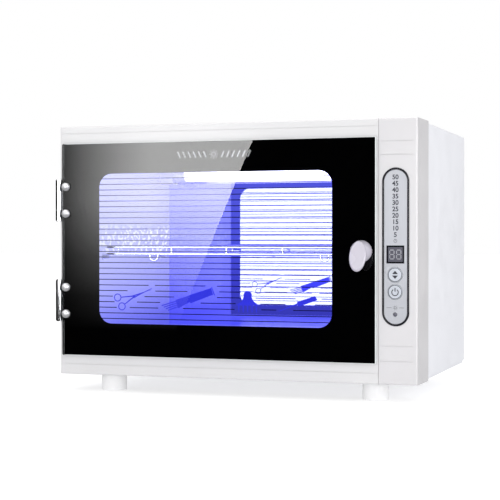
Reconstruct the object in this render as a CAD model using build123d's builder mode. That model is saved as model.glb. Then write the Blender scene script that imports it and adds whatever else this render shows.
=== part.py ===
from build123d import *
import math
import os

# UV sterilizer cabinet: a benchtop steel box with a moulded front frame, a black-bordered glass
# door hung on its left, a mirror-lined chamber with a wire rack and a germicidal lamp, and a
# control column with a timer display and two buttons on its right.
# Millimetres. +Z is up, the door faces -Y, +X is to the right as the door is faced.
# The origin is on the surface the feet stand on, under the centre of the whole object's box.

os.makedirs("parts", exist_ok=True)

# ---------------------------------------------------------------- driving dimensions

# Cabinet
width = 378.0
depth = 256.0
height = 257.0
foot_height = 18.0
foot_radius = 13.0
foot_inset_x = 48.0
foot_inset_y = 30.0

# Front frame, moulded in plastic
frame_depth = 48.0
frame_wall = 2.5
frame_face = 3.0
frame_flare = 1.0
frame_round = 1.5
column_seam = 340.0
seam_gap = 0.3
groove_width = 0.9
groove_depth = 0.5

# Sheet metal
sheet = 1.0
wrap_corner = 3.0
flange = 13.0
fit_gap = 0.3

# Chamber, measured from the cabinet's left, front and bottom
chamber_left = 33.0
chamber_right = 308.0
chamber_low = 40.0
chamber_high = 228.0
chamber_back = 220.0

# Door
glass_left = 4.5
glass_right = 338.2
glass_low = 20.0
glass_high = 239.0
glass_thickness = 4.0
glass_gap = 1.3
glass_corner = 1.5
bolt_hole_radius = 2.3

# Hinges
hinge_centres = (180.6, 76.7)
hinge_length = 41.8
knuckle_radius = 3.3
knuckle_end_length = 10.8
knuckle_gap = 0.3
pin_radius = 1.25
pin_clearance = 0.05
leaf_thickness = 1.1
dome_x = 9.4
dome_spacing = 27.6
dome_radius = 4.3
dome_height = 4.8
dome_shank_radius = 2.0

# Handle
handle_x = 324.0
handle_z = 128.5
handle_boss_radius = 10.7
handle_leaf_half_width = 8.2
handle_leaf_half_height = 15.4
handle_leaf_thickness = 4.4
handle_leaf_tilt = 20.0
handle_leaf_out = 13.6
handle_reach = 26.3

# Control column
panel_x = 356.8
panel_z = 132.85
panel_width = 26.6
panel_height = 152.7
bezel_width = 2.1
panel_recess = 1.5
button_x = 356.3
button_radius = 7.2
button_gap = 0.3
button_heights = {"select_button": 106.0, "power_button": 89.5}
button_travel = 0.8
display_x = 356.5
display_z = 125.55
display_width = 17.5
display_height = 17.3
led_z = 67.8
led_radius = 2.0
board_front = 10.0
board_thickness = 1.6

# Lamp, a 6 W T5 tube
lamp_x = 161.0
lamp_y = 185.0
lamp_z = 215.0
lamp_radius = 8.0
lamp_glass_length = 208.0
lamp_length = 212.0
lamp_pin_length = 7.0
lamp_pin_radius = 1.2
lamp_pin_offset = 2.5

# Rack
rack_wire = 1.15
rack_grid_wire = 0.9
rack_post_wire = 0.9
rack_left = 37.0
rack_right = 304.0
rack_front = 18.0
rack_back = 206.0
rack_low = 125.0
rack_high = 132.0
rack_corner = 9.0
rack_post_spacing = 60.0
rack_post_shift = 7.0
peg_radius = 2.0
peg_reach = 8.0

# How far the mains inlet stands behind the cabinet
inlet_lip = 2.5

# ---------------------------------------------------------------- places in the row's frame

left = -(width + frame_flare - knuckle_radius) / 2
front = -(depth + inlet_lip - handle_reach) / 2
bottom = foot_height


def at(x, y, z):
    """Turns a place from the cabinet's left, front and bottom into the row's frame."""
    return (left + x, front + y, bottom + z)


def facing(y):
    """A plane seen from the front at this depth, with its x to the right and its y up."""
    return Plane(origin=at(0, y, 0), x_dir=(1, 0, 0), z_dir=(0, -1, 0))


def seen_from_right(x):
    """A plane across the cabinet at this x, with its x going back and its y up."""
    return Plane(origin=at(x, 0, 0), x_dir=(0, 1, 0), z_dir=(1, 0, 0))


def level(z):
    """A level plane at this height, with its x to the right and its y going back."""
    return Plane(origin=at(0, 0, z))


# ---------------------------------------------------------------- shapes that come again and again


def block(low, high, mode=Mode.ADD):
    """A box between two corners."""
    with BuildSketch(level(low[2])) as base:
        with Locations(((low[0] + high[0]) / 2, (low[1] + high[1]) / 2)):
            Rectangle(high[0] - low[0], high[1] - low[1])
    extrude(base.sketch, amount=high[2] - low[2], mode=mode)


def prism(points, low, high):
    """An upright prism over a plan outline."""
    with BuildSketch(level(low)) as base:
        with BuildLine():
            Polyline(*points, close=True)
        make_face()
    extrude(base.sketch, amount=high - low)


def rod_back(x, z, radius, start, end, mode=Mode.ADD):
    """A round rod or hole that runs from front to back."""
    with BuildSketch(facing(start)) as base:
        with Locations((x, z)):
            Circle(radius)
    extrude(base.sketch, amount=start - end, mode=mode)


def rod_across(y, z, radius, start, end, mode=Mode.ADD):
    """A round rod or hole that runs from left to right."""
    with BuildSketch(seen_from_right(start)) as base:
        with Locations((y, z)):
            Circle(radius)
    extrude(base.sketch, amount=end - start, mode=mode)


def rod_up(x, y, radius, start, end, mode=Mode.ADD):
    """A round upright rod or hole."""
    with BuildSketch(level(start)) as base:
        with Locations((x, y)):
            Circle(radius)
    extrude(base.sketch, amount=end - start, mode=mode)


def save(piece, name):
    """Labels a finished piece and writes its STEP file."""
    piece.part.label = name
    export_step(piece.part, f"parts/{name}.step")


# ---------------------------------------------------------------- front frame

feet_x = (foot_inset_x, width - foot_inset_x)
feet_y = (foot_inset_y, depth - foot_inset_y)
foot_screw_radius = 2.0
foot_screw_clearance = 0.05


def face_groove(x_low, x_high, z):
    """A shallow moulded line across the front of a frame member."""
    block((x_low, 0, z - groove_width / 2), (x_high, groove_depth, z + groove_width / 2), Mode.SUBTRACT)


def left_end_wall(z_low, z_high):
    """The frame's left side, which flares a little towards the back."""
    outline = [
        (0, 0),
        (frame_wall, 0),
        (frame_wall - frame_flare, frame_depth),
        (-frame_flare, frame_depth),
    ]
    prism(outline, z_low, z_high)


def rail_shelf(z_low, z_high):
    """A rail's outer wall, as deep as the frame."""
    outline = [
        (0, 0),
        (column_seam - seam_gap, 0),
        (column_seam - seam_gap, frame_depth),
        (-frame_flare, frame_depth),
    ]
    prism(outline, z_low, z_high)


def stiffening_ribs(z_low, z_high):
    """Ribs behind a rail's face."""
    rib_thickness = 2.0
    rib_depth = 20.0
    for x in (85.0, 170.0, 255.0):
        block((x, frame_face, z_low), (x + rib_thickness, rib_depth, z_high))


def make_top_rail():
    rail_end = column_seam - seam_gap
    with BuildPart() as top_rail:
        block((0, 0, chamber_high), (rail_end, frame_face, height))
        rail_shelf(height - frame_wall, height)
        left_end_wall(chamber_high, height)
        stiffening_ribs(chamber_high + 2, height - frame_wall)
        outer_edge = top_rail.edges().filter_by(Axis.X).group_by(Axis.Z)[-1].sort_by(Axis.Y)[0]
        left_edge = top_rail.edges().filter_by(Axis.Z).group_by(Axis.Y)[0].sort_by(Axis.X)[0]
        fillet([outer_edge, left_edge], frame_round)
        face_groove(-1, rail_end, 249.8)
    save(top_rail, "top_rail")


def make_bottom_rail():
    rail_end = column_seam - seam_gap
    boss_radius = 5.5
    boss_height = 9.0
    with BuildPart() as bottom_rail:
        block((0, 0, 0), (rail_end, frame_face, chamber_low))
        rail_shelf(0, frame_wall)
        left_end_wall(0, chamber_low)
        stiffening_ribs(frame_wall, chamber_low - 2)
        for x in feet_x:
            rod_up(x, foot_inset_y, boss_radius, 0, boss_height)
            rod_up(x, foot_inset_y, foot_screw_radius + foot_screw_clearance, 0, boss_height, Mode.SUBTRACT)
        outer_edge = bottom_rail.edges().filter_by(Axis.X).group_by(Axis.Z)[0].sort_by(Axis.Y)[0]
        left_edge = bottom_rail.edges().filter_by(Axis.Z).group_by(Axis.Y)[0].sort_by(Axis.X)[0]
        fillet([outer_edge, left_edge], frame_round)
        face_groove(-1, rail_end, 10.8)
    save(bottom_rail, "bottom_rail")


# The hinge screws go into the left stile's side.
leaf_screw_y = 9.0
leaf_screw_spacing = 28.0
leaf_screw_radius = 1.4
screw_clearance = 0.05
leaf_screw_heights = [z + side * leaf_screw_spacing / 2 for z in hinge_centres for side in (-1, 1)]


def make_left_stile():
    boss_radius = 3.5
    boss_reach = 9.0
    with BuildPart() as left_stile:
        block((0, 0, chamber_low), (chamber_left, frame_face, chamber_high))
        left_end_wall(chamber_low, chamber_high)
        left_edge = left_stile.edges().filter_by(Axis.Z).group_by(Axis.Y)[0].sort_by(Axis.X)[0]
        fillet(left_edge, frame_round)
        for z in leaf_screw_heights:
            rod_across(leaf_screw_y, z, boss_radius, frame_wall - frame_flare, boss_reach)
            rod_across(leaf_screw_y, z, leaf_screw_radius + screw_clearance, -2, boss_reach, Mode.SUBTRACT)
    save(left_stile, "left_stile")


# The magnet sits behind the handle, and the door switch above it.
magnet_radius = 8.0
magnet_front = 0.2
magnet_thickness = 5.0
switch_x = 327.0
switch_z = 205.0
plunger_radius = 2.3
plunger_hole_radius = 2.6
switch_front = 6.0


def make_right_stile():
    cup_radius = magnet_radius + 2.1
    cup_back = magnet_front + magnet_thickness + 2.0
    with BuildPart() as right_stile:
        block((chamber_right, 0, chamber_low), (column_seam - seam_gap, frame_face, chamber_high))
        rod_back(handle_x, handle_z, cup_radius, frame_face, cup_back)
        rod_back(handle_x, handle_z, magnet_radius + 0.1, 0, magnet_front + magnet_thickness, Mode.SUBTRACT)
        rod_back(switch_x, switch_z, plunger_hole_radius, 0, frame_face, Mode.SUBTRACT)
        for z in (60.0, 90.0, 170.0):
            block((chamber_right + 2, frame_face, z), (column_seam - 2, 8, z + 2))
    save(right_stile, "right_stile")


# Where the control board is screwed to the column
board_screw_places = [(panel_x + dx, z) for dx in (-9.5, 9.5) for z in (79.0, 145.0)]
board_screw_radius = 1.0


def panel_outline(margin, mode=Mode.ADD):
    """The control panel's outline, grown or shrunk by a margin."""
    with Locations((panel_x, panel_z)):
        SlotOverall(panel_height + 2 * margin, panel_width + 2 * margin, rotation=90, mode=mode)


def make_control_column():
    boss_radius = 2.4
    right_wall = [
        (width - frame_wall, 0),
        (width, 0),
        (width + frame_flare, frame_depth),
        (width + frame_flare - frame_wall, frame_depth),
    ]
    shelf = [(column_seam, 0), (width, 0), (width + frame_flare, frame_depth), (column_seam, frame_depth)]
    with BuildPart() as control_column:
        block((column_seam, 0, 0), (width, frame_face, height))
        prism(right_wall, 0, height)
        prism(shelf, height - frame_wall, height)
        prism(shelf, 0, frame_wall)
        corner_edges = control_column.edges().filter_by(Axis.Z).group_by(Axis.Y)[0].sort_by(Axis.X)[-1]
        top_edge = control_column.edges().filter_by(Axis.X).group_by(Axis.Z)[-1].sort_by(Axis.Y)[0]
        low_edge = control_column.edges().filter_by(Axis.X).group_by(Axis.Z)[0].sort_by(Axis.Y)[0]
        fillet([corner_edges, top_edge, low_edge], frame_round)
        for x, z in board_screw_places:
            rod_back(x, z, boss_radius, frame_face, board_front)
            rod_back(x, z, board_screw_radius + screw_clearance, frame_face, board_front, Mode.SUBTRACT)
        with BuildSketch(facing(0)) as recess:
            panel_outline(0.1)
        extrude(recess.sketch, amount=-panel_recess, mode=Mode.SUBTRACT)
        block(
            (display_x - 9.5, 0, display_z - 9.5),
            (display_x + 9.5, frame_face, display_z + 9.5),
            Mode.SUBTRACT,
        )
        for z in button_heights.values():
            rod_back(button_x, z, button_radius + button_gap, 0, frame_face, Mode.SUBTRACT)
        rod_back(button_x, led_z, led_radius + 0.1, 0, frame_face, Mode.SUBTRACT)
        for z in (234.8, 221.7, 37.3, 22.6):
            face_groove(column_seam + 1.5, width - 4.5, z)
    save(control_column, "control_column")


# ---------------------------------------------------------------- sheet-metal body

rear_screw_places = [
    (7.5, 30.0),
    (7.5, 225.0),
    (370.5, 30.0),
    (370.5, 225.0),
    (110.0, 248.5),
    (268.0, 248.5),
]
rear_screw_radius = 1.5
inlet_x = 338.0
inlet_z = 48.0
inlet_body_width = 27.4
inlet_body_height = 20.4


def make_outer_wrap():
    """Top and both sides in one bent sheet, with a narrow flange round its back edge."""
    flange_back = depth - sheet
    screw_hole = rear_screw_radius + screw_clearance
    with BuildPart() as outer_wrap:
        with BuildSketch(facing(frame_depth)) as section:
            with Locations((width / 2, height / 2)):
                RectangleRounded(width, height - 2 * sheet, wrap_corner)
                RectangleRounded(
                    width - 2 * sheet,
                    height - 4 * sheet,
                    wrap_corner - sheet,
                    mode=Mode.SUBTRACT,
                )
            with Locations((width / 2, sheet)):
                Rectangle(width, 2 * wrap_corner, mode=Mode.SUBTRACT)
        extrude(section.sketch, amount=frame_depth - depth)
        low = sheet + wrap_corner
        high = height - 2 * sheet
        block((sheet, flange_back - sheet, low), (flange, flange_back, high))
        block((width - flange, flange_back - sheet, low), (width - sheet, flange_back, high))
        block((flange, flange_back - sheet, height - flange), (width - flange, flange_back, high))
        for x, z in rear_screw_places:
            rod_back(x, z, screw_hole, flange_back - sheet, flange_back, Mode.SUBTRACT)
    save(outer_wrap, "outer_wrap")


ballast_x = 326.0
ballast_y = (112.0, 196.0)
ballast_width = 40.0
ballast_height = 28.0
ballast_screw_places = [(ballast_x, ballast_y[0] + 5.0), (ballast_x, ballast_y[1] - 5.0)]
floor_screw_radius = 1.8
power_board_x = (306.0, 366.0)
power_board_y = (56.0, 100.0)
standoff_radius = 2.6
standoff_inset = 4.0
standoff_places = [
    (x, y)
    for x in (power_board_x[0] + standoff_inset, power_board_x[1] - standoff_inset)
    for y in (power_board_y[0] + standoff_inset, power_board_y[1] - standoff_inset)
]


def make_base_panel():
    """The floor of the steel body, with its edges turned up."""
    x_low = sheet + fit_gap
    x_high = width - sheet - fit_gap
    y_low = frame_depth + fit_gap
    y_high = depth - 2 * sheet - fit_gap
    with BuildPart() as base_panel:
        block((x_low, y_low, sheet), (x_high, y_high, 2 * sheet))
        block((x_low, y_low, sheet), (x_low + sheet, y_high, flange))
        block((x_high - sheet, y_low, sheet), (x_high, y_high, flange))
        for x in feet_x:
            rod_up(x, feet_y[1], foot_screw_radius + foot_screw_clearance, 0, flange, Mode.SUBTRACT)
        for x, y in ballast_screw_places:
            rod_up(x, y, floor_screw_radius + screw_clearance, 0, flange, Mode.SUBTRACT)
    save(base_panel, "base_panel")


def make_rear_panel():
    """The back cover, with louvre slots beside the electrics and above the chamber."""
    slot_height = 3.0
    slot_pitch = 7.5
    plate_width = width - 2 * (sheet + fit_gap)
    plate_height = height - 3 * sheet - 2 * fit_gap
    screw_hole = rear_screw_radius + screw_clearance
    with BuildPart() as rear_panel:
        with BuildSketch(facing(depth - sheet)) as plate:
            with Locations((width / 2, height / 2 - sheet / 2)):
                RectangleRounded(plate_width, plate_height, wrap_corner)
        extrude(plate.sketch, amount=-sheet)
        with BuildSketch(facing(depth - sheet)) as openings:
            with Locations((inlet_x, inlet_z)):
                Rectangle(inlet_body_width + 0.4, inlet_body_height + 0.4)
            with Locations((inlet_x, 185.0)):
                with GridLocations(1, slot_pitch, 1, 9):
                    SlotOverall(42, slot_height)
            with Locations(((chamber_left + chamber_right) / 2, 237.0)):
                with GridLocations(48, slot_pitch, 5, 2):
                    SlotOverall(36, slot_height)
        extrude(openings.sketch, amount=-sheet, mode=Mode.SUBTRACT)
        for x, z in rear_screw_places:
            rod_back(x, z, screw_hole, depth - sheet, depth, Mode.SUBTRACT)
        for side in (-1, 1):
            inlet_screw_x = inlet_x + side * inlet_screw_spacing / 2
            rod_back(inlet_screw_x, inlet_z, screw_hole, depth - sheet, depth, Mode.SUBTRACT)
    save(rear_panel, "rear_panel")


# The rack's pegs stand in the chamber's side sheets.
peg_y = (34.0, 190.0)
peg_rest_gap = 0.1
peg_z = rack_low - rack_wire - peg_rest_gap - peg_radius


def make_chamber_liner():
    """Five mirror-polished sheets that make the chamber."""
    liner_front = frame_face
    with BuildPart() as liner_floor:
        block(
            (chamber_left - sheet, liner_front, chamber_low - sheet),
            (chamber_right + sheet, chamber_back, chamber_low),
        )
    save(liner_floor, "liner_floor")
    with BuildPart() as liner_ceiling:
        block(
            (chamber_left - sheet, liner_front, chamber_high),
            (chamber_right + sheet, chamber_back, chamber_high + sheet),
        )
    save(liner_ceiling, "liner_ceiling")
    with BuildPart() as liner_back:
        block(
            (chamber_left - sheet, chamber_back, chamber_low - sheet),
            (chamber_right + sheet, chamber_back + sheet, chamber_high + sheet),
        )
    save(liner_back, "liner_back")
    for name, x in (("liner_left", chamber_left - sheet), ("liner_right", chamber_right)):
        with BuildPart() as liner_side:
            block((x, liner_front, chamber_low), (x + sheet, chamber_back, chamber_high))
            for y in peg_y:
                rod_across(y, peg_z, peg_radius + screw_clearance, x, x + sheet, Mode.SUBTRACT)
        save(liner_side, name)


def make_rack_pegs():
    """Four pegs, each with a collar inside the chamber and a riveted tail behind the sheet."""
    collar_radius = 3.6
    collar_thickness = 1.4
    tail = 3.0
    with BuildPart() as rack_pegs:
        for wall, inward in ((chamber_left, 1), (chamber_right, -1)):
            for y in peg_y:
                ends = sorted((wall - inward * (sheet + tail), wall + inward * peg_reach))
                rod_across(y, peg_z, peg_radius, ends[0], ends[1])
                collar = sorted((wall, wall + inward * collar_thickness))
                rod_across(y, peg_z, collar_radius, collar[0], collar[1])
    save(rack_pegs, "rack_pegs")


# ---------------------------------------------------------------- wire rack


def wire_loop(z):
    """One loop of the rack's heavy wire with rounded corners, bent as two halves welded end to end."""
    middle_x = (rack_left + rack_right) / 2
    for side_x in (rack_left, rack_right):
        with BuildLine() as path:
            FilletPolyline(
                at(middle_x, rack_front, z),
                at(side_x, rack_front, z),
                at(side_x, rack_back, z),
                at(middle_x, rack_back, z),
                radius=rack_corner,
            )
        run = path.wire()
        with BuildSketch(Plane(origin=run @ 0, z_dir=run % 0)) as section:
            Circle(rack_wire)
        sweep(section.sketch, path=run)


def make_rack():
    post_middle = (rack_left + rack_right) / 2 + rack_post_shift
    post_x = [post_middle + step * rack_post_spacing for step in (-1, 0, 1)]
    post_y = [rack_front + share * (rack_back - rack_front) for share in (0.25, 0.75)]
    with BuildPart() as rack_frame:
        wire_loop(rack_low)
        wire_loop(rack_high)
        for x in post_x:
            for y in (rack_front, rack_back):
                rod_up(x, y, rack_post_wire, rack_low, rack_high)
        for y in post_y:
            for x in (rack_left, rack_right):
                rod_up(x, y, rack_post_wire, rack_low, rack_high)
    save(rack_frame, "rack_frame")

    wire_count = 12
    step = (rack_right - rack_left) / (wire_count + 1)
    weld = 0.4
    cross_wire = 1.0
    cross_z = rack_low - rack_grid_wire - cross_wire + weld
    grid_front = rack_front + rack_wire - weld
    grid_back = rack_back - rack_wire + weld
    with BuildPart() as rack_grid:
        for index in range(wire_count):
            x = rack_left + (index + 1) * step
            rod_back(x, rack_low, rack_grid_wire, grid_front, grid_back)
        for y in (81.0, 143.0):
            rod_across(y, cross_z, cross_wire, rack_left, rack_right)
    save(rack_grid, "rack_grid")

    hook_radius = 4.4
    hook_wire = 0.9
    hook_stem = 1.6
    hook_top = rack_low - rack_wire + weld
    stem_low = hook_top - hook_stem
    with BuildPart() as rack_hooks:
        for x in (98.0, 281.0):
            left_x = x - hook_radius
            right_x = x + hook_radius
            with BuildLine(facing(rack_front)) as path:
                Line((left_x, hook_top), (left_x, stem_low))
                ThreePointArc((left_x, stem_low), (x, stem_low - hook_radius), (right_x, stem_low))
                Line((right_x, stem_low), (right_x, hook_top))
            with BuildSketch(Plane(origin=path.wire() @ 0, z_dir=path.wire() % 0)) as section:
                Circle(hook_wire)
            sweep(section.sketch, path=path.wire())
    save(rack_hooks, "rack_hooks")


# ---------------------------------------------------------------- lamp and its holders

cap_wall = 0.5
cap_length = 14.0
cap_end = 2.0
cap_clearance = 0.03
rotor_radius = 5.4
rotor_clearance = 0.05
holder_gap = 0.3
holder_width = 14.7
holder_half_depth = 9.0
holder_below = 12.0


def lamp_end(side):
    """Where the lamp's end face is, on the left (-1) or the right (1)."""
    return lamp_x + side * lamp_length / 2


def between(a, b):
    """Two places in rising order."""
    return (a, b) if a < b else (b, a)


def make_lamp():
    glass_half = lamp_glass_length / 2
    glass_wall = 0.9
    with BuildPart() as lamp_tube:
        rod_across(lamp_y, lamp_z, lamp_radius, lamp_x - glass_half, lamp_x + glass_half)
        inner = lamp_radius - glass_wall
        rod_across(lamp_y, lamp_z, inner, lamp_x - glass_half, lamp_x + glass_half, Mode.SUBTRACT)
    save(lamp_tube, "lamp_tube")

    with BuildPart() as lamp_caps:
        for side in (-1, 1):
            end = lamp_end(side)
            low, high = between(end, end - side * cap_length)
            rod_across(lamp_y, lamp_z, lamp_radius + cap_clearance + cap_wall, low, high)
            low, high = between(end - side * cap_end, end - side * (cap_length + 1))
            rod_across(lamp_y, lamp_z, lamp_radius + cap_clearance, low, high, Mode.SUBTRACT)
    save(lamp_caps, "lamp_caps")

    with BuildPart() as lamp_pins:
        for side in (-1, 1):
            end = lamp_end(side)
            low, high = between(end, end + side * lamp_pin_length)
            for offset in (-lamp_pin_offset, lamp_pin_offset):
                rod_across(lamp_y + offset, lamp_z, lamp_pin_radius, low, high)
    save(lamp_pins, "lamp_pins")

    slot_half = lamp_pin_radius + 0.05
    back_wall = 1.2
    with BuildPart() as holder_rotors:
        for side in (-1, 1):
            face = lamp_end(side) + side * holder_gap
            inner_end = lamp_end(side) + side * (lamp_pin_length + 0.1)
            low, high = between(face, inner_end + side * back_wall)
            rod_across(lamp_y, lamp_z, rotor_radius, low, high)
            low, high = between(face, inner_end)
            block(
                (low, lamp_y - rotor_radius, lamp_z - slot_half),
                (high, lamp_y + rotor_radius, lamp_z + slot_half),
                Mode.SUBTRACT,
            )
    save(holder_rotors, "holder_rotors")


def make_lamp_holders():
    """Twist-lock holders that hang from the chamber's ceiling, open towards the lamp."""
    entry_half = lamp_pin_radius + 0.2
    for name, side in (("lamp_holder_left", -1), ("lamp_holder_right", 1)):
        face = lamp_end(side) + side * holder_gap
        rotor_back = lamp_end(side) + side * (lamp_pin_length + 0.1 + 1.2 + 0.2)
        with BuildPart() as lamp_holder:
            low, high = between(face, face + side * holder_width)
            block(
                (low, lamp_y - holder_half_depth, lamp_z - holder_below),
                (high, lamp_y + holder_half_depth, chamber_high),
            )
            upright = lamp_holder.edges().filter_by(Axis.X).group_by(Axis.Z)[0]
            fillet(upright, 5.0)
            low, high = between(face, rotor_back)
            rod_across(lamp_y, lamp_z, rotor_radius + rotor_clearance, low, high, Mode.SUBTRACT)
            block(
                (low, lamp_y - entry_half, lamp_z - holder_below),
                (high, lamp_y + entry_half, lamp_z),
                Mode.SUBTRACT,
            )
        save(lamp_holder, name)


def make_lamp_reflector():
    """A bent sheet that turns the lamp's light downwards."""
    thickness = 0.8
    flat_half = 10.0
    wing_half = 23.0
    wing_low = 217.5
    end_gap = 1.2
    low = lamp_end(-1) + end_gap
    high = lamp_end(1) - end_gap
    with BuildPart() as lamp_reflector:
        with BuildSketch(seen_from_right(low)) as section:
            with BuildLine():
                Polyline(
                    (lamp_y - wing_half, wing_low),
                    (lamp_y - flat_half, chamber_high - thickness),
                    (lamp_y + flat_half, chamber_high - thickness),
                    (lamp_y + wing_half, wing_low),
                    (lamp_y + wing_half, wing_low + thickness),
                    (lamp_y + flat_half, chamber_high),
                    (lamp_y - flat_half, chamber_high),
                    (lamp_y - wing_half, wing_low + thickness),
                    close=True,
                )
            make_face()
        extrude(section.sketch, amount=high - low)
    save(lamp_reflector, "lamp_reflector")


# ---------------------------------------------------------------- door

glass_back = -glass_gap
glass_front = glass_back - glass_thickness
hinge_axis_y = -0.1 - knuckle_radius
dome_places = [(dome_x, z + side * dome_spacing / 2) for z in hinge_centres for side in (-1, 1)]


def make_door_glass():
    with BuildPart() as door_glass:
        with BuildSketch(facing(glass_front)) as pane:
            with Locations(((glass_left + glass_right) / 2, (glass_low + glass_high) / 2)):
                RectangleRounded(glass_right - glass_left, glass_high - glass_low, glass_corner)
        extrude(pane.sketch, amount=-glass_thickness)
        chamfer(door_glass.faces().sort_by(Axis.Y)[0].edges(), 0.4)
        for x, z in dome_places:
            rod_back(x, z, bolt_hole_radius, glass_front, glass_back, Mode.SUBTRACT)
        rod_back(handle_x, handle_z, bolt_hole_radius, glass_front, glass_back, Mode.SUBTRACT)
    save(door_glass, "door_glass")


def hinge_frame_leaf(low, high, centre):
    """The leaf on the frame's side, with a knuckle at each end of the hinge."""
    thickness = 1.2
    leaf_end = 17.0
    clear_of_knuckle = hinge_axis_y + knuckle_radius + 0.6
    for z_low, z_high in ((low, low + knuckle_end_length), (high - knuckle_end_length, high)):
        rod_up(0, hinge_axis_y, knuckle_radius, z_low, z_high)
        block((-thickness - 0.1, hinge_axis_y, z_low), (-0.1, clear_of_knuckle + 1, z_high))
    side_at_end = -frame_flare * leaf_end / frame_depth
    leaf_outline = [
        (-thickness - 0.1, clear_of_knuckle),
        (-0.1, clear_of_knuckle),
        (side_at_end - 0.02, leaf_end),
        (side_at_end - thickness, leaf_end),
    ]
    prism(leaf_outline, low, high)
    rod_up(0, hinge_axis_y, pin_radius + 0.01, low, high, Mode.SUBTRACT)
    for side in (-1, 1):
        z = centre + side * leaf_screw_spacing / 2
        rod_across(leaf_screw_y, z, leaf_screw_radius + screw_clearance, -4, 2, Mode.SUBTRACT)


def hinge_door_leaf(low, high, centre):
    """The leaf behind the glass, with the middle knuckle that turns on the pin."""
    middle_low = low + knuckle_end_length + knuckle_gap
    middle_high = high - knuckle_end_length - knuckle_gap
    leaf_back = glass_back + leaf_thickness
    leaf_right = 17.0
    rod_up(0, hinge_axis_y, knuckle_radius, middle_low, middle_high)
    block((0, glass_back, middle_low), (leaf_right, leaf_back, middle_high))
    block((glass_left, glass_back, low), (leaf_right, leaf_back, high))
    rod_up(0, hinge_axis_y, pin_radius + pin_clearance, middle_low, middle_high, Mode.SUBTRACT)
    for side in (-1, 1):
        z = centre + side * dome_spacing / 2
        rod_back(dome_x, z, dome_shank_radius + 0.02, glass_back, leaf_back, Mode.SUBTRACT)


def make_hinges():
    spans = [(z - hinge_length / 2, z + hinge_length / 2, z) for z in hinge_centres]
    with BuildPart() as hinge_frame_leaves:
        for span in spans:
            hinge_frame_leaf(*span)
    save(hinge_frame_leaves, "hinge_frame_leaves")
    with BuildPart() as hinge_door_leaves:
        for span in spans:
            hinge_door_leaf(*span)
    save(hinge_door_leaves, "hinge_door_leaves")
    head_radius = 2.4
    head_thickness = 0.9
    with BuildPart() as hinge_pins:
        for low, high, centre in spans:
            rod_up(0, hinge_axis_y, pin_radius, low, high)
            for z in (low - head_thickness, high):
                rod_up(0, hinge_axis_y, head_radius, z, z + head_thickness)
    save(hinge_pins, "hinge_pins")


def make_dome_screws():
    """Chrome cap screws that clamp the glass to the hinges, each with a washer."""
    washer_radius = 4.7
    washer_thickness = 0.5
    washer_hole = dome_shank_radius + 0.05
    rim = 1.2
    with BuildPart() as dome_screws:
        for x, z in dome_places:
            seat = glass_front - washer_thickness
            crown = seat - dome_height
            shoulder = seat - rim
            with BuildSketch(Plane(origin=at(x, 0, z), x_dir=(1, 0, 0), z_dir=(0, 0, 1))) as half:
                with BuildLine():
                    Line((0, glass_back + leaf_thickness), (0, crown))
                    ThreePointArc(
                        (0, crown),
                        (dome_radius * 0.72, crown + (shoulder - crown) * 0.32),
                        (dome_radius, shoulder),
                    )
                    Polyline(
                        (dome_radius, shoulder),
                        (dome_radius, seat),
                        (dome_shank_radius, seat),
                        (dome_shank_radius, glass_back + leaf_thickness),
                        (0, glass_back + leaf_thickness),
                    )
                make_face()
            revolve(half.sketch, axis=Axis(at(x, 0, z), (0, 1, 0)))
    save(dome_screws, "dome_screws")
    with BuildPart() as dome_washers:
        for x, z in dome_places:
            rod_back(x, z, washer_radius, glass_front - washer_thickness, glass_front)
            rod_back(x, z, washer_hole, glass_front - washer_thickness, glass_front, Mode.SUBTRACT)
    save(dome_washers, "dome_washers")


def make_leaf_screws():
    head_radius = 2.5
    head_thickness = 1.0
    leaf_face = -1.3 - frame_flare * (leaf_screw_y + head_radius) / frame_depth
    with BuildPart() as hinge_leaf_screws:
        for z in leaf_screw_heights:
            rod_across(leaf_screw_y, z, leaf_screw_radius, leaf_face, 8.0)
            rod_across(leaf_screw_y, z, head_radius, leaf_face - head_thickness, leaf_face)
    save(hinge_leaf_screws, "hinge_leaf_screws")


# ---------------------------------------------------------------- handle, catch and door switch

strike_thickness = 1.0
strike_radius = 11.0
handle_screw_radius = 2.0
handle_screw_depth = 8.0


def make_handle():
    """A round boss that carries a leaf, whose lower end stands away from the glass."""
    leaf_centre = at(handle_x, glass_front - handle_leaf_out, handle_z - 4.6)
    tilt = math.radians(handle_leaf_tilt)
    leaf_plane = Plane(origin=leaf_centre, x_dir=(1, 0, 0), z_dir=(0, -math.cos(tilt), math.sin(tilt)))
    neck_out = 10.5
    neck_radius = 7.0
    edge_round = 1.9
    with BuildPart() as handle:
        with BuildSketch(leaf_plane.offset(-handle_leaf_thickness / 2)) as leaf:
            Ellipse(handle_leaf_half_width, handle_leaf_half_height)
        extrude(leaf.sketch, amount=handle_leaf_thickness)
        fillet(handle.edges(), edge_round)
        with BuildSketch(facing(glass_front)) as foot:
            with Locations((handle_x, handle_z)):
                Circle(handle_boss_radius)
        with BuildSketch(facing(glass_front - 3.0)) as shoulder:
            with Locations((handle_x, handle_z)):
                Circle(handle_boss_radius - 0.4)
        with BuildSketch(facing(glass_front - neck_out)) as neck:
            with Locations((handle_x, handle_z + 1.6)):
                Circle(neck_radius)
        loft([foot.sketch, shoulder.sketch, neck.sketch])
        rod_back(
            handle_x,
            handle_z,
            handle_screw_radius + screw_clearance,
            glass_front - handle_screw_depth - 0.5,
            glass_front,
            Mode.SUBTRACT,
        )
    save(handle, "handle")


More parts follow.
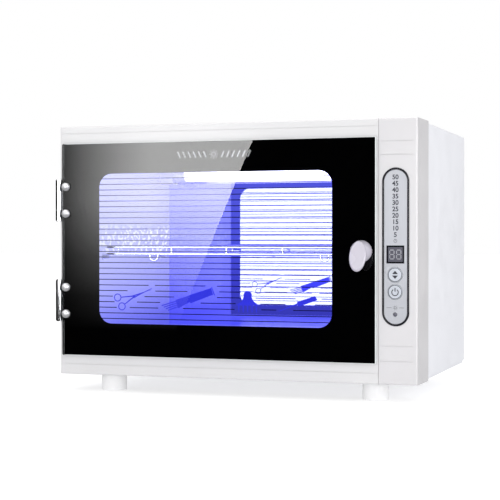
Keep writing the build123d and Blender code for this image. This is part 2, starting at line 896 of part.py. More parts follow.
def make_strike_and_screw():
    head_radius = 3.8
    head_thickness = 0.9
    strike_back = glass_back + strike_thickness
    with BuildPart() as strike_plate:
        rod_back(handle_x, handle_z, strike_radius, glass_back, strike_back)
        rod_back(handle_x, handle_z, head_radius + 0.1, glass_back, strike_back, Mode.SUBTRACT)
    save(strike_plate, "strike_plate")
    with BuildPart() as handle_screw:
        rod_back(handle_x, handle_z, handle_screw_radius, glass_front - handle_screw_depth, glass_back)
        rod_back(handle_x, handle_z, head_radius, glass_back, glass_back + head_thickness)
    save(handle_screw, "handle_screw")


def make_bumpers():
    """Clear pads on the back of the glass, which meet the frame's face when the door shuts."""
    bumper_radius = 4.0
    bumper_thickness = glass_gap - 0.1
    with BuildPart() as door_bumpers:
        for x, z in ((322.0, 30.0), (322.0, 229.0), (28.0, 30.0), (28.0, 229.0)):
            rod_back(x, z, bumper_radius, glass_back, glass_back + bumper_thickness)
    save(door_bumpers, "door_bumpers")


def make_catch_and_switch():
    with BuildPart() as magnet_catch:
        rod_back(handle_x, handle_z, magnet_radius, magnet_front, magnet_front + magnet_thickness)
    save(magnet_catch, "magnet_catch")

    plunger_tip = glass_back + 0.15
    plunger_end = 10.0
    over_travel = 1.5
    collar_radius = 3.4
    with BuildPart() as switch_plunger:
        rod_back(switch_x, switch_z, plunger_radius, plunger_tip, plunger_end)
        rod_back(switch_x, switch_z, collar_radius, frame_face + 0.1, frame_face + 1.0)
        fillet(switch_plunger.edges().filter_by(GeomType.CIRCLE).sort_by(Axis.Y)[0], 0.8)
    save(switch_plunger, "switch_plunger")

    with BuildPart() as door_switch:
        block((switch_x - 10, switch_front, switch_z - 5), (switch_x + 10, 22.0, switch_z + 5))
        rod_back(
            switch_x,
            switch_z,
            plunger_radius + 0.08,
            switch_front,
            plunger_end + over_travel + 0.5,
            Mode.SUBTRACT,
        )
        for z in (switch_z - 3, switch_z + 3):
            block((switch_x - 8, 22.0, z - 0.4), (switch_x - 4, 27.0, z + 0.4))
            block((switch_x + 4, 22.0, z - 0.4), (switch_x + 8, 27.0, z + 0.4))
        for side in (-1, 1):
            block(
                (switch_x + side * 8 - 2, frame_face, switch_z - 5),
                (switch_x + side * 8 + 2, switch_front, switch_z + 5),
            )
    save(door_switch, "door_switch")


# ---------------------------------------------------------------- control panel

fascia_front = -0.2
bezel_front = -0.7
display_depth = 1.4
button_front = -0.7
button_back = 4.6
lip_front = frame_face + 0.1 + button_travel
switch_stem_radius = 1.75
tact_front = 5.4
tact_size = 6.0
stem_end = 6.6


def make_bezel_and_fascia():
    with BuildPart() as control_bezel:
        with BuildSketch(facing(bezel_front)) as ring:
            panel_outline(0)
            panel_outline(-bezel_width, Mode.SUBTRACT)
        extrude(ring.sketch, amount=bezel_front - panel_recess)
        chamfer(control_bezel.faces().sort_by(Axis.Y)[0].edges(), 0.3)
    save(control_bezel, "control_bezel")

    with BuildPart() as control_fascia:
        with BuildSketch(facing(fascia_front)) as plate:
            panel_outline(-bezel_width - 0.05)
            with Locations((display_x, display_z)):
                Rectangle(display_width + 0.2, display_height + 0.2, mode=Mode.SUBTRACT)
            for z in button_heights.values():
                with Locations((button_x, z)):
                    Circle(button_radius + button_gap, mode=Mode.SUBTRACT)
            with Locations((button_x, led_z)):
                Circle(led_radius + 0.1, mode=Mode.SUBTRACT)
        extrude(plate.sketch, amount=fascia_front - panel_recess)
    save(control_fascia, "control_fascia")


def make_display():
    half_width = display_width / 2
    half_height = display_height / 2
    window_front = fascia_front - 0.15
    with BuildPart() as display_window:
        block(
            (display_x - half_width, window_front, display_z - half_height),
            (display_x + half_width, window_front + display_depth, display_z + half_height),
        )
        chamfer(display_window.faces().sort_by(Axis.Y)[0].edges(), 0.2)
    save(display_window, "display_window")
    module_front = window_front + display_depth + 0.2
    with BuildPart() as display_module:
        block((display_x - 7.5, module_front, display_z - 7.0), (display_x + 7.5, 8.6, display_z + 7.0))
        with BuildSketch(facing(8.6)) as leads:
            with Locations((display_x, display_z)):
                with GridLocations(2.54, 10.0, 5, 2):
                    Circle(0.3)
        extrude(leads.sketch, amount=8.6 - board_front)
    save(display_module, "display_module")


def make_button(name, z):
    """A round cap with a retaining lip behind the column's face and a stem to its switch."""
    with BuildPart() as button:
        rod_back(button_x, z, button_radius, button_front, button_back)
        fillet(button.edges().filter_by(GeomType.CIRCLE).sort_by(Axis.Y)[0], 0.4)
        rod_back(button_x, z, switch_stem_radius, button_back, stem_end)
        rod_back(button_x, z, button_radius + 0.9, frame_face + 0.1, frame_face + 1.1)
    save(button, name)


def make_control_board():
    with BuildPart() as control_board:
        low = (panel_x - 12.4, board_front, 57.0)
        high = (panel_x + 12.4, board_front + board_thickness, 152.0)
        block(low, high)
        for x, z in board_screw_places:
            rod_back(x, z, board_screw_radius + screw_clearance, board_front, high[1], Mode.SUBTRACT)
    save(control_board, "control_board")

    with BuildPart() as button_switches:
        half = tact_size / 2
        for z in button_heights.values():
            block((button_x - half, tact_front, z - half), (button_x + half, board_front, z + half))
            bore_end = stem_end + button_travel + 0.4
            rod_back(button_x, z, switch_stem_radius + 0.1, tact_front, bore_end, Mode.SUBTRACT)
    save(button_switches, "button_switches")

    with BuildPart() as board_screws:
        board_back = board_front + board_thickness
        for x, z in board_screw_places:
            rod_back(x, z, board_screw_radius, frame_face + 1.0, board_back)
            rod_back(x, z, 2.0, board_back, board_back + 1.4)
    save(board_screws, "board_screws")

    with BuildPart() as power_led:
        rod_back(button_x, led_z, led_radius, -0.4, 5.0)
        fillet(power_led.edges().filter_by(GeomType.CIRCLE).sort_by(Axis.Y)[0], 0.9)
        rod_back(button_x, led_z, led_radius + 0.5, 4.0, 5.0)
        for side in (-1.27, 1.27):
            rod_back(button_x + side, led_z, 0.3, 5.0, board_front)
    save(power_led, "power_led")


# ---------------------------------------------------------------- electrics in the side bay

standoff_low = 2 * sheet
standoff_high = 10.0
power_board_top = standoff_high + board_thickness
terminal_x = (352.0, 372.0)
terminal_y = (150.0, 182.0)
wire_radius = 1.5


def make_ballast():
    low_y, high_y = ballast_y
    half = ballast_width / 2
    foot_length = 11.0
    floor = 2 * sheet
    head_seat = floor + 2.0
    screw_hole = floor_screw_radius + screw_clearance
    with BuildPart() as ballast:
        block(
            (ballast_x - half, low_y + foot_length, floor),
            (ballast_x + half, high_y - foot_length, floor + ballast_height),
        )
        fillet(ballast.edges().filter_by(Axis.Z), 2.0)
        block((ballast_x - half / 2, low_y, floor), (ballast_x + half / 2, high_y, head_seat))
        for x, y in ballast_screw_places:
            rod_up(x, y, screw_hole, 0, head_seat, Mode.SUBTRACT)
    save(ballast, "ballast")

    with BuildPart() as ballast_screws:
        for x, y in ballast_screw_places:
            rod_up(x, y, floor_screw_radius, sheet, head_seat)
            rod_up(x, y, 3.4, head_seat, head_seat + 2.0)
    save(ballast_screws, "ballast_screws")


def make_power_board():
    low_x, high_x = power_board_x
    low_y, high_y = power_board_y
    with BuildPart() as board_standoffs:
        for x, y in standoff_places:
            rod_up(x, y, standoff_radius, standoff_low, standoff_high)
    save(board_standoffs, "board_standoffs")
    with BuildPart() as power_board:
        block((low_x, low_y, standoff_high), (high_x, high_y, power_board_top))
    save(power_board, "power_board")
    with BuildPart() as power_board_parts:
        block((low_x + 8, low_y + 10, power_board_top), (low_x + 30, low_y + 30, power_board_top + 18))
        block((low_x + 36, low_y + 8, power_board_top), (low_x + 52, low_y + 27, power_board_top + 15))
        rod_up(low_x + 40, low_y + 36, 4.0, power_board_top, power_board_top + 14)
    save(power_board_parts, "power_board_parts")
    with BuildPart() as terminal_block:
        block(
            (terminal_x[0], terminal_y[0], 2 * sheet),
            (terminal_x[1], terminal_y[1], 2 * sheet + 14),
        )
        with BuildSketch(level(2 * sheet + 14)) as screw_wells:
            with Locations(((terminal_x[0] + terminal_x[1]) / 2, (terminal_y[0] + terminal_y[1]) / 2)):
                with GridLocations(9, 9, 2, 3):
                    Circle(2.2)
        extrude(screw_wells.sketch, amount=-4, mode=Mode.SUBTRACT)
    save(terminal_block, "terminal_block")


inlet_screw_spacing = 40.0
inlet_depth = 22.0
inlet_pin_recess = 6.0


def make_inlet():
    """A three-pin mains inlet with a screwed flange."""
    flange_width = 50.0
    flange_height = 24.0
    wall = 1.6
    pin_half = (1.0, 2.0)
    back = depth + inlet_lip
    half_width = inlet_body_width / 2
    half_height = inlet_body_height / 2
    with BuildPart() as mains_inlet:
        with BuildSketch(facing(depth)) as plate:
            with Locations((inlet_x, inlet_z)):
                RectangleRounded(flange_width, flange_height, 5)
        extrude(plate.sketch, amount=-inlet_lip)
        block(
            (inlet_x - half_width, depth - inlet_depth, inlet_z - half_height),
            (inlet_x + half_width, depth, inlet_z + half_height),
        )
        with BuildSketch(facing(back)) as socket:
            with Locations((inlet_x, inlet_z)):
                RectangleRounded(inlet_body_width - 2 * wall, inlet_body_height - 2 * wall, 3)
        extrude(socket.sketch, amount=inlet_depth + inlet_lip - wall, mode=Mode.SUBTRACT)
        for side in (-1, 1):
            screw_x = inlet_x + side * inlet_screw_spacing / 2
            rod_back(screw_x, inlet_z, rear_screw_radius + screw_clearance, depth, back, Mode.SUBTRACT)
            rod_back(screw_x, inlet_z, 2.7, back - 1.65, back, Mode.SUBTRACT)
    save(mains_inlet, "mains_inlet")
    with BuildPart() as inlet_pins:
        for dx, dz in ((-7.0, -2.0), (7.0, -2.0), (0.0, 2.0)):
            block(
                (inlet_x + dx - pin_half[0], depth - inlet_depth - 6, inlet_z + dz - pin_half[1]),
                (inlet_x + dx + pin_half[0], back - inlet_pin_recess, inlet_z + dz + pin_half[1]),
            )
    save(inlet_pins, "inlet_pins")


def make_rear_screws():
    head_radius = 2.9
    head_thickness = 1.6
    sunk_head_radius = 2.6
    with BuildPart() as rear_screws:
        for x, z in rear_screw_places:
            rod_back(x, z, rear_screw_radius, depth - 4, depth)
            rod_back(x, z, head_radius, depth, depth + head_thickness)
        rims = rear_screws.edges().filter_by(GeomType.CIRCLE).group_by(Axis.Y)[-1]
        fillet(rims, 0.7)
        for side in (-1, 1):
            x = inlet_x + side * inlet_screw_spacing / 2
            rod_back(x, inlet_z, rear_screw_radius, depth - 6, depth + inlet_lip)
            rod_back(x, inlet_z, sunk_head_radius, depth + inlet_lip - head_thickness, depth + inlet_lip)
    save(rear_screws, "rear_screws")


def wire_run(points, radius):
    """An insulated wire along straight runs joined by tangent bends."""
    with BuildLine() as path:
        FilletPolyline(*[at(*point) for point in points], radius=radius)
    run = path.wire()
    with BuildSketch(Plane(origin=run @ 0, z_dir=run % 0)) as section:
        Circle(wire_radius)
    sweep(section.sketch, path=run)


def make_wiring():
    """Four wires: inlet to terminals, terminals to power board, ballast to lamp, board to panel."""
    over_ceiling = chamber_high + 7.0
    with BuildPart() as wiring:
        wire_run(
            [(338, 227.8, 48), (338, 214, 48), (362, 214, 48), (362, 205, 20), (362, 183.2, 12)],
            radius=5,
        )
        wire_run([(362, 149.8, 9), (362, 132, 9), (354, 118, 9), (354, 100.2, 9)], radius=4)
        wire_run(
            [
                (326, 154, 30.2),
                (326, 154, 60),
                (326, lamp_y, 110),
                (326, lamp_y, over_ceiling),
                (279, lamp_y, over_ceiling),
            ],
            radius=8,
        )
        wire_run(
            [(362, 90, 11.7), (362, 90, 40), (362, 60, 60), (358, 24, 80), (357, 13.8, 100)],
            radius=8,
        )
    save(wiring, "wiring")


# ---------------------------------------------------------------- feet


def make_feet():
    recess_radius = 5.0
    recess_depth = 9.0
    head_thickness = 2.2
    grip = 8.0
    with BuildPart() as feet:
        for x in feet_x:
            for y in feet_y:
                top = 0 if y == feet_y[0] else sheet
                rod_up(x, y, foot_radius, -foot_height, top)
                rod_up(x, y, recess_radius, -foot_height, -foot_height + recess_depth, Mode.SUBTRACT)
                rod_up(x, y, foot_screw_radius + foot_screw_clearance, -foot_height, top, Mode.SUBTRACT)
        lowest = feet.edges().filter_by(GeomType.CIRCLE).group_by(Axis.Z)[0]
        fillet(lowest.group_by(SortBy.RADIUS)[-1], 1.0)
    save(feet, "feet")
    with BuildPart() as foot_screws:
        seat = -foot_height + recess_depth
        for x in feet_x:
            for y in feet_y:
                rod_up(x, y, foot_screw_radius, seat, grip)
                rod_up(x, y, 3.9, seat - head_thickness, seat)
    save(foot_screws, "foot_screws")


# ---------------------------------------------------------------- build every piece

make_top_rail()
make_bottom_rail()
make_left_stile()
make_right_stile()
make_control_column()
make_outer_wrap()
make_base_panel()
make_rear_panel()
make_chamber_liner()
make_rack_pegs()
make_rack()
make_lamp()
make_lamp_holders()
make_lamp_reflector()
make_door_glass()
make_hinges()
make_dome_screws()
make_leaf_screws()
make_handle()
make_strike_and_screw()
make_bumpers()
make_catch_and_switch()
make_bezel_and_fascia()
make_display()
for button_name, button_z in button_heights.items():
    make_button(button_name, button_z)
make_control_board()
make_ballast()
make_power_board()
make_inlet()
make_rear_screws()
make_wiring()
make_feet()
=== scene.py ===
import math

import bpy
from mathutils import Matrix, Vector


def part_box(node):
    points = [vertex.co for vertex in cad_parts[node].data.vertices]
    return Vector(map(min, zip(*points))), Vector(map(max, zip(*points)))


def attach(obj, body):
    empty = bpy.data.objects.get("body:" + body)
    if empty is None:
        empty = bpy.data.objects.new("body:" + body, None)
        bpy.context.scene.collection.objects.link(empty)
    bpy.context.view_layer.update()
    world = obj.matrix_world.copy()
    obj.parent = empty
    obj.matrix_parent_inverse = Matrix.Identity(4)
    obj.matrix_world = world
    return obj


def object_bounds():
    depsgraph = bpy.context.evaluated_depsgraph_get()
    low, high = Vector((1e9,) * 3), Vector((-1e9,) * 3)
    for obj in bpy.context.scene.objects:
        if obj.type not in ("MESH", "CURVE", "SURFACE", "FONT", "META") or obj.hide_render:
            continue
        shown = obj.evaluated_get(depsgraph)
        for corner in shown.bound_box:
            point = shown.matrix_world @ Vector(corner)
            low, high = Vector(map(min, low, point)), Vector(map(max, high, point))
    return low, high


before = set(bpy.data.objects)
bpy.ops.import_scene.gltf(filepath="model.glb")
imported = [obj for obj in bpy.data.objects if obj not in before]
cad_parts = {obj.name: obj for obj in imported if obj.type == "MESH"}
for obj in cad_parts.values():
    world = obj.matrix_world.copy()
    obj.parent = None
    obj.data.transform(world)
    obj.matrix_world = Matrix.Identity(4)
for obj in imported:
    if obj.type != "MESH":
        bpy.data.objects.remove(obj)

# The looks of a UV sterilizer cabinet: materials for every CAD piece, the prints on the door glass
# and on the control panel, a plain studio and the camera. Metres; the door faces -Y and +Z is up.

cad_low, cad_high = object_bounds()
MM = 0.001

# The cabinet's own corner: its left side, front face and underside, read from the frame.
cabinet_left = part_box("outer_wrap")[0].x
cabinet_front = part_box("control_column")[0].y
cabinet_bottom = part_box("control_column")[0].z
glass_low, glass_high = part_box("door_glass")
chamber_low = Vector((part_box("liner_left")[1].x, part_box("liner_floor")[0].y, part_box("liner_floor")[1].z))
chamber_high = Vector((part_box("liner_right")[0].x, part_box("liner_back")[0].y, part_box("liner_ceiling")[0].z))


def place(x, y, z):
    """Turns millimetres from the cabinet's left, front and bottom into a point of the frame."""
    return Vector((cabinet_left + x * MM, cabinet_front + y * MM, cabinet_bottom + z * MM))


# ---------------------------------------------------------------- material building


class Tree:
    """A node tree with short ways to build it. Values are sockets of other nodes or plain numbers."""

    def __init__(self, tree):
        self.nodes = tree.nodes
        self.links = tree.links

    def link(self, out_socket, in_socket):
        self.links.new(out_socket, in_socket)

    def feed(self, value, in_socket):
        if isinstance(value, bpy.types.NodeSocket):
            self.link(value, in_socket)
        else:
            in_socket.default_value = value

    def math(self, operation, first, second=0.0):
        node = self.nodes.new("ShaderNodeMath")
        node.operation = operation
        self.feed(first, node.inputs[0])
        self.feed(second, node.inputs[1])
        return node.outputs["Value"]

    def blend(self, share, first, second, kind="MIX"):
        """Blends two colours; each is a socket or (r, g, b)."""
        node = self.nodes.new("ShaderNodeMix")
        node.data_type = "RGBA"
        node.blend_type = kind
        self.feed(share, node.inputs["Factor"])
        for colour, in_socket in ((first, node.inputs[6]), (second, node.inputs[7])):
            self.feed(colour if isinstance(colour, bpy.types.NodeSocket) else (*colour, 1), in_socket)
        return node.outputs[2]

    def mix_shaders(self, share, first, second):
        node = self.nodes.new("ShaderNodeMixShader")
        self.link(share, node.inputs["Fac"])
        self.link(first, node.inputs[1])
        self.link(second, node.inputs[2])
        return node.outputs["Shader"]

    def clear(self, colour=(1, 1, 1)):
        node = self.nodes.new("ShaderNodeBsdfTransparent")
        node.inputs["Color"].default_value = (*colour, 1)
        return node.outputs["BSDF"]

    def split(self, vector):
        """The X, Y and Z of a vector."""
        node = self.nodes.new("ShaderNodeSeparateXYZ")
        self.link(vector, node.inputs["Vector"])
        return node.outputs

    def spread(self, value, low, high, start=0.3, stop=0.7):
        """Maps a value from start to stop onto a range."""
        node = self.nodes.new("ShaderNodeMapRange")
        node.inputs["From Min"].default_value = start
        node.inputs["From Max"].default_value = stop
        node.inputs["To Min"].default_value = low
        node.inputs["To Max"].default_value = high
        self.link(value, node.inputs["Value"])
        return node.outputs["Result"]

    def ramp(self, value, stops):
        """A colour ramp: stops are (position, (r, g, b))."""
        node = self.nodes.new("ShaderNodeValToRGB")
        while len(node.color_ramp.elements) < len(stops):
            node.color_ramp.elements.new(0.5)
        for element, (position, colour) in zip(node.color_ramp.elements, stops):
            element.position = position
            element.color = (*colour, 1)
        self.link(value, node.inputs["Fac"])
        return node.outputs["Color"]

    def past_glass(self, light_path):
        """1 for a ray that has already gone through a see-through face."""
        return self.math("GREATER_THAN", light_path.outputs["Transparent Depth"], 0.5)


class Shader(Tree):
    """A material with short ways to add procedural detail."""

    def __init__(self, name):
        self.material = bpy.data.materials.new(name)
        self.material.use_nodes = True
        super().__init__(self.material.node_tree)
        self.surface = self.nodes["Principled BSDF"]
        self.output = self.nodes["Material Output"]
        self.coords = self.nodes.new("ShaderNodeTexCoord")

    def set(self, **values):
        """Sets plain values on the Principled shader, its socket names written with underscores."""
        for name, value in values.items():
            self.surface.inputs[name.replace("_", " ")].default_value = value

    def noise(self, scale, detail=3.0, stretch=(1, 1, 1), roughness=0.5):
        mapping = self.nodes.new("ShaderNodeMapping")
        mapping.inputs["Scale"].default_value = stretch
        texture = self.nodes.new("ShaderNodeTexNoise")
        texture.inputs["Scale"].default_value = scale
        texture.inputs["Detail"].default_value = detail
        texture.inputs["Roughness"].default_value = roughness
        self.link(self.coords.outputs["Object"], mapping.inputs["Vector"])
        self.link(mapping.outputs["Vector"], texture.inputs["Vector"])
        return texture.outputs["Fac"]

    def point(self):
        """The X, Y and Z of the shaded point, in metres of the frame."""
        return self.split(self.coords.outputs["Object"])

    def bump(self, value, strength, distance):
        node = self.nodes.new("ShaderNodeBump")
        node.inputs["Strength"].default_value = strength
        node.inputs["Distance"].default_value = distance
        self.link(value, node.inputs["Height"])
        self.link(node.outputs["Normal"], self.surface.inputs["Normal"])

    def mottled(self, scale, detail, low_colour, high_colour):
        """A base colour that wanders between two colours."""
        self.colour(self.ramp(self.noise(scale, detail), [(0.3, low_colour), (0.7, high_colour)]))

    def colour(self, socket):
        self.link(socket, self.surface.inputs["Base Color"])

    def rough(self, socket):
        self.link(socket, self.surface.inputs["Roughness"])

    def glow(self, socket):
        self.link(socket, self.surface.inputs["Emission Color"])

    def finish_with(self, shader_socket):
        self.link(shader_socket, self.output.inputs["Surface"])


def tone(colour, gain):
    return tuple(min(1.0, c * gain) for c in colour)


def moulded(name, colour, roughness=0.35, coat=0.0, grain=1400, grain_depth=0.03, mottle=0.03):
    """Moulded plastic: faint flow variation in colour and gloss, and a fine surface grain."""
    s = Shader(name)
    s.set(Specular_IOR_Level=0.5, Coat_Weight=coat, Coat_Roughness=0.08)
    s.mottled(9, 4, tone(colour, 1 - mottle), tone(colour, 1 + mottle / 2))
    s.rough(s.spread(s.noise(35, 5), roughness - 0.05, roughness + 0.07))
    s.bump(s.noise(grain, 2), grain_depth, 0.0002)
    return s.material


def powder_coat(name, colour):
    """Powder-coated steel: an even orange-peel skin over a slightly uneven white."""
    s = Shader(name)
    s.set(Coat_Weight=0.1, Coat_Roughness=0.3, Specular_IOR_Level=0.3)
    s.mottled(6, 3, tone(colour, 0.975), colour)
    s.rough(s.spread(s.noise(60, 4), 0.34, 0.46))
    s.bump(s.noise(520, 2), 0.06, 0.0003)
    return s.material


def plated(name, colour, roughness=0.08, scratch_scale=900, metallic=1.0):
    """Bright plating with fine wear in its gloss."""
    s = Shader(name)
    s.set(Metallic=metallic)
    s.mottled(40, 4, tone(colour, 0.93), colour)
    s.rough(s.spread(s.noise(scratch_scale, 4), roughness * 0.6, roughness * 1.8))
    s.bump(s.noise(scratch_scale, 3), 0.015, 0.0001)
    return s.material


def brushed(name, colour, stretch, roughness=0.3, streak=0.05, metallic=1.0, depth=0.05):
    """Brushed metal: long streaks that vary the tone and the gloss."""
    s = Shader(name)
    s.set(Metallic=metallic)
    streaks = s.noise(260, 6, stretch=stretch, roughness=0.65)
    s.colour(s.ramp(streaks, [(0.3, tone(colour, 1 - streak)), (0.7, tone(colour, 1 + streak))]))
    s.rough(s.spread(streaks, roughness - 0.07, roughness + 0.1))
    s.bump(streaks, depth, 0.0001)
    return s.material


def rubbery(name, colour, roughness):
    """Rubber or soft plastic: dull, with a fine grain."""
    s = Shader(name)
    s.set(Specular_IOR_Level=0.35)
    s.mottled(30, 4, tone(colour, 0.85), tone(colour, 1.1))
    s.rough(s.spread(s.noise(200, 4), roughness - 0.08, roughness + 0.1))
    s.bump(s.noise(1200, 3), 0.12, 0.0002)
    return s.material


# The lamp's light inside the chamber, as each sheet scatters it at four heights from the floor up
GLOW_HEIGHTS = (0.05, 0.25, 0.5, 0.95)
BACK_GLOW = ((0.09, 0.095, 0.62), (0.10, 0.105, 0.80), (0.16, 0.18, 1.0), (0.20, 0.22, 1.0))
SIDE_GLOW = ((0.24, 0.25, 0.98), (0.47, 0.48, 1.0), (0.61, 0.62, 1.0), (0.62, 0.62, 1.0))
FLOOR_GLOW = ((0.19, 0.20, 0.8),) * 4
CEILING_GLOW = ((0.5, 0.5, 1.0),) * 4
# How much of the light is left at the chamber's back
DEEP_SHARE = 0.5
# The light deepest in the chamber keeps this much of its blue and none of its red and green
DEEP_TINT = (0, 0, 0.6)
# The band of painted glints on a side sheet, the rack's light scattered onto it as bright flecks: where it
# starts, is full, is still full and ends, by height
PAINTED_GLINT_BAND = (0.43, 0.46, 0.58, 0.63)
# The colour of the painted glints, the rack's scattered light
PAINTED_GLINT_COLOUR = (0.85, 0.86, 1.0)

BLACK, WHITE = (0, 0, 0), (1, 1, 1)


def inside_chamber(s, point):
    """1 on the faces that look into the chamber and 0 on the hidden backs of its sheets."""
    skin = 0.4 * MM
    limits = [
        ("X", "GREATER_THAN", chamber_low.x - skin),
        ("X", "LESS_THAN", chamber_high.x + skin),
        ("Y", "LESS_THAN", chamber_high.y + skin),
        ("Z", "GREATER_THAN", chamber_low.z - skin),
        ("Z", "LESS_THAN", chamber_high.z + skin),
    ]
    inside = 1.0
    for axis, operation, limit in limits:
        inside = s.math("MULTIPLY", s.math(operation, point[axis], limit), inside)
    return inside


def lit_mirror(name, tint, roughness, glow, metallic=1.0, painted_glints=0.0):
    """Polished sheet in the lamp's light: it mirrors, and it glows with the scattered blue, painted into its
    emission, with painted glints of the rack's light where asked.
    """
    s = Shader(name)
    s.set(Metallic=metallic, Specular_IOR_Level=0.0, Emission_Strength=1.0)
    s.mottled(14, 3, tone(tint, 0.96), tint)
    s.rough(s.spread(s.noise(500, 3), roughness * 0.7, roughness * 1.4))
    point = s.point()
    height = s.spread(point["Z"], 0, 1, chamber_low.z, chamber_high.z)
    by_height = s.ramp(height, list(zip(GLOW_HEIGHTS, glow)))
    depth = s.spread(point["Y"], 1, DEEP_SHARE, chamber_low.y, chamber_high.y)
    by_depth = s.ramp(depth, [(0.0, DEEP_TINT), (1.0, WHITE)])
    lit = s.blend(1.0, by_height, by_depth, "MULTIPLY")
    # painted light: bright flecks of the rack's light scattered onto the sheet, mixed into the glow
    if painted_glints:
        glint_band = s.ramp(height, list(zip(PAINTED_GLINT_BAND, (BLACK, WHITE, WHITE, BLACK))))
        glint_spots = s.spread(s.noise(260, 1, stretch=(1, 0.6, 1)), 0, painted_glints, 0.53, 0.58)
        lit = s.blend(s.math("MULTIPLY", glint_band, glint_spots), lit, PAINTED_GLINT_COLOUR)
    s.glow(s.blend(inside_chamber(s, point), BLACK, lit))
    s.bump(s.noise(6, 2), 0.02, 0.001)
    return s.material


def clear_pane(name, tint, edge_tint):
    """Flat clear glass: see-through, with a mirror share by angle on its front, and ground edges."""
    s = Shader(name)
    point = s.point()
    gloss = s.nodes.new("ShaderNodeBsdfGlossy")
    gloss.inputs["Color"].default_value = (*WHITE, 1)
    s.link(s.spread(s.noise(30, 3), 0.0, 0.012), gloss.inputs["Roughness"])
    fresnel = s.nodes.new("ShaderNodeFresnel")
    fresnel.inputs["IOR"].default_value = 1.52
    is_front = s.math("LESS_THAN", point["Y"], (glass_low.y + glass_high.y) / 2)
    share = s.math("MULTIPLY", fresnel.outputs["Fac"], is_front)
    pane = s.mix_shaders(share, s.clear(tint), gloss.outputs["BSDF"])
    # the edge on the hinge side is dark, so the border looks black right up to it
    s.set(Roughness=0.5, Specular_IOR_Level=0.1)
    from_left = s.spread(point["X"], 0, 1, glass_low.x + 2 * MM, glass_low.x + 6 * MM)
    pale_edge = s.ramp(s.noise(90, 3), [(0.3, tone(edge_tint, 0.9)), (0.7, edge_tint)])
    s.colour(s.blend(from_left, (0.004, 0.004, 0.004), pale_edge))
    normal = s.split(s.coords.outputs["Normal"])
    is_edge = s.math("LESS_THAN", s.math("ABSOLUTE", normal["Y"]), 0.9)
    s.finish_with(s.mix_shaders(is_edge, pane, s.surface.outputs["BSDF"]))
    return s.material


def glowing_tube(name):
    """The lit lamp: brightest along its middle and dimmer towards its electrodes."""
    s = Shader(name)
    s.set(Roughness=0.1, Base_Color=(0.8, 0.8, 1.0, 1), Emission_Strength=5.0)
    low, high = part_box("lamp_tube")
    share = s.spread(s.point()["X"], 0, 1, low.x, high.x)
    dim, bright = (0.30, 0.28, 0.75), (0.80, 0.78, 1.0)
    stops = [(0.06, dim), (0.16, bright), (0.84, bright), (0.94, dim)]
    s.glow(s.ramp(share, stops))
    return s.material


def printed(name, colour, roughness=0.3, shine=0.5):
    """Screen-printed ink: slightly uneven in tone and gloss."""
    s = Shader(name)
    s.set(Specular_IOR_Level=shine)
    s.mottled(160, 4, tone(colour, 0.85), tone(colour, 1.1))
    s.rough(s.spread(s.noise(400, 3), roughness - 0.05, roughness + 0.1))
    return s.material


def see_through_ink(name, colour, cover, glow):
    """Thin screen ink that tints the light behind it; glow is the light it scatters itself."""
    s = Shader(name)
    s.set(Specular_IOR_Level=0.0, Emission_Strength=1.0, Emission_Color=(*glow, 1))
    s.mottled(160, 4, (0.004, 0.004, 0.012), (0.008, 0.008, 0.03))
    s.rough(s.spread(s.noise(400, 3), 0.3, 0.45))
    share = s.spread(s.noise(90, 3), cover - 0.05, cover + 0.05)
    s.finish_with(s.mix_shaders(share, s.clear(colour), s.surface.outputs["BSDF"]))
    return s.material


WHITE_ABS = moulded("white_abs", (0.67, 0.665, 0.675), roughness=0.33, coat=0.15)
COLUMN_ABS = moulded("column_abs", (0.63, 0.62, 0.635), roughness=0.33, coat=0.15)
WHITE_COAT = powder_coat("white_powder_coat", (0.78, 0.785, 0.825))
BRIGHT_WIRE = plated("bright_wire", (0.88, 0.89, 0.93), 0.12)
CHROME = plated("hinge_chrome_plate", (0.80, 0.80, 0.83), 0.07)
SATIN_CHROME = plated("satin_chrome_plate", (0.70, 0.70, 0.72), 0.3, metallic=0.55)
ZINC = brushed("zinc_plated_steel", (0.58, 0.59, 0.62), (1, 1, 8), roughness=0.35)
TURNED_STEEL = brushed("turned_steel", (0.70, 0.71, 0.74), (1, 8, 8), roughness=0.28)
BRASS = plated("contact_brass_plate", (0.80, 0.62, 0.30), 0.2)
CAP_METAL = brushed("lamp_cap_metal", (0.78, 0.78, 0.82), (6, 1, 1), roughness=0.3)
BRIGHT_SHEET = brushed("bright_reflector_sheet", (0.86, 0.86, 0.92), (0.2, 3, 3), roughness=0.2)
BLACK_GLOSS = moulded("black_gloss_moulding", (0.012, 0.012, 0.018), roughness=0.18, coat=0.4)
BLACK_MATTE = moulded("black_matte_moulding", (0.02, 0.02, 0.022), roughness=0.5, grain_depth=0.1)
SILVER_OVERLAY = brushed("silver_overlay", (0.49, 0.50, 0.54), (9, 9, 0.25), roughness=0.42, metallic=0.35)
SILVER_CAP = brushed("silver_button_cap", (0.56, 0.59, 0.65), (9, 9, 0.25), roughness=0.38, metallic=0.35)
PALE_HANDLE = moulded("pale_handle", (0.50, 0.475, 0.545), roughness=0.22, coat=0.5, mottle=0.02)
PALE_FOOT = moulded("pale_foot", (0.90, 0.90, 0.91), roughness=0.5, grain_depth=0.08)
HOLDER_WHITE = moulded("holder_white", (0.80, 0.80, 0.80), roughness=0.4)
SMOKED = moulded("smoked_window", (0.10, 0.10, 0.125), roughness=0.15, coat=0.3)
MODULE_GREY = moulded("display_module_grey", (0.14, 0.14, 0.16), roughness=0.45)
TINTED_LENS = moulded("tinted_lens", (0.12, 0.12, 0.15), roughness=0.12, coat=0.6)
BOARD_GREEN = moulded("board_green", (0.02, 0.16, 0.06), roughness=0.3, coat=0.4, mottle=0.15)
CAN_GREY = powder_coat("ballast_can", (0.45, 0.46, 0.47))
COMPONENT_BLUE = moulded("component_blue", (0.04, 0.09, 0.25), roughness=0.4)
